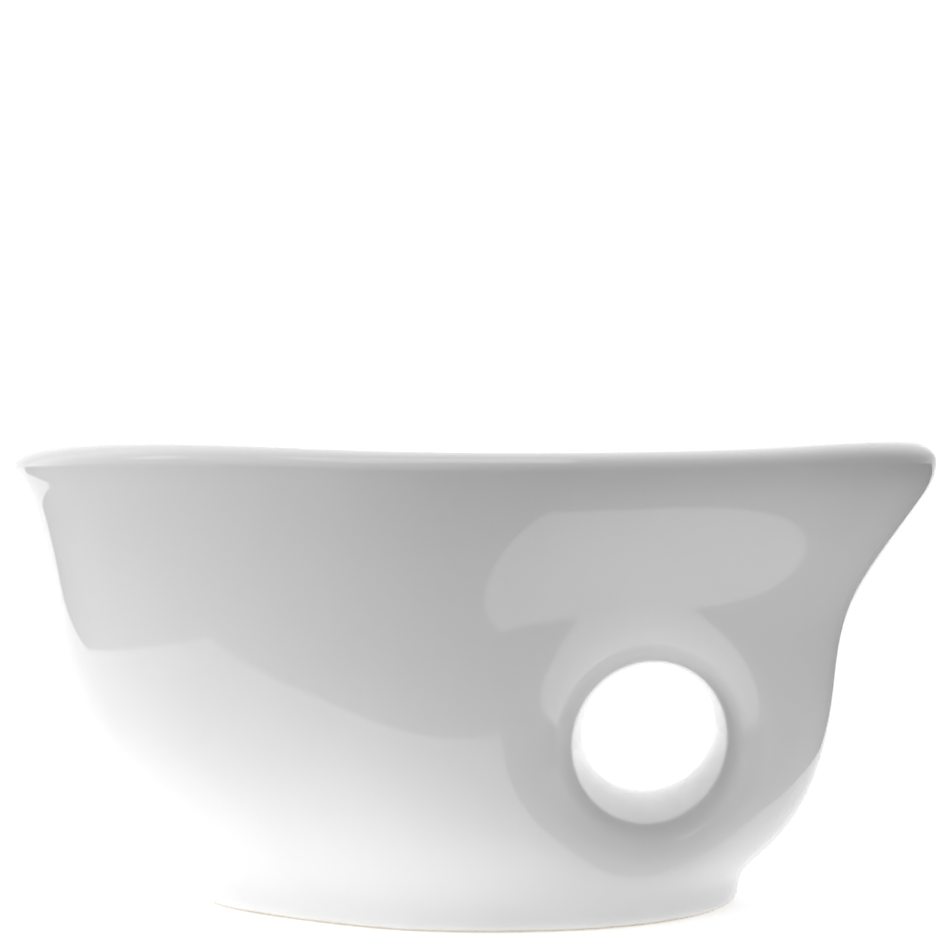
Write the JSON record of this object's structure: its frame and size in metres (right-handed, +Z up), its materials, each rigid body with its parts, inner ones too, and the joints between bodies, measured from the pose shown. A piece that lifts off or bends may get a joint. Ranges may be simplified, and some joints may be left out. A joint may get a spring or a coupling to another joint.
{
  "type": "yarn bowl",
  "caption": "Glazed white ceramic yarn bowl with a drawn-out lip, a rounded rim, a foot ring and a smooth round hole right through its handle end.",
  "frame": {"origin": "on the table, under the middle of the bowl's outline", "axes": "+X from the round back to the tip of the lip, along the bowl's length; +Y across the bowl, along the through hole; +Z up"},
  "size_m": [0.165, 0.1186, 0.0817],
  "materials": {
    "white_glaze": "glossy clear glaze over white porcelain",
    "foot_glaze": "glossy glaze outside, wiped off the standing face to bare bisque"
  },
  "bodies": {
    "root": {"bowl_wall": "white_glaze", "bowl_floor": "white_glaze", "handle_bridge": "white_glaze", "hole_sleeve": "white_glaze", "rim_bead": "white_glaze", "foot_ring": "foot_glaze"}
  },
  "joints": []
}
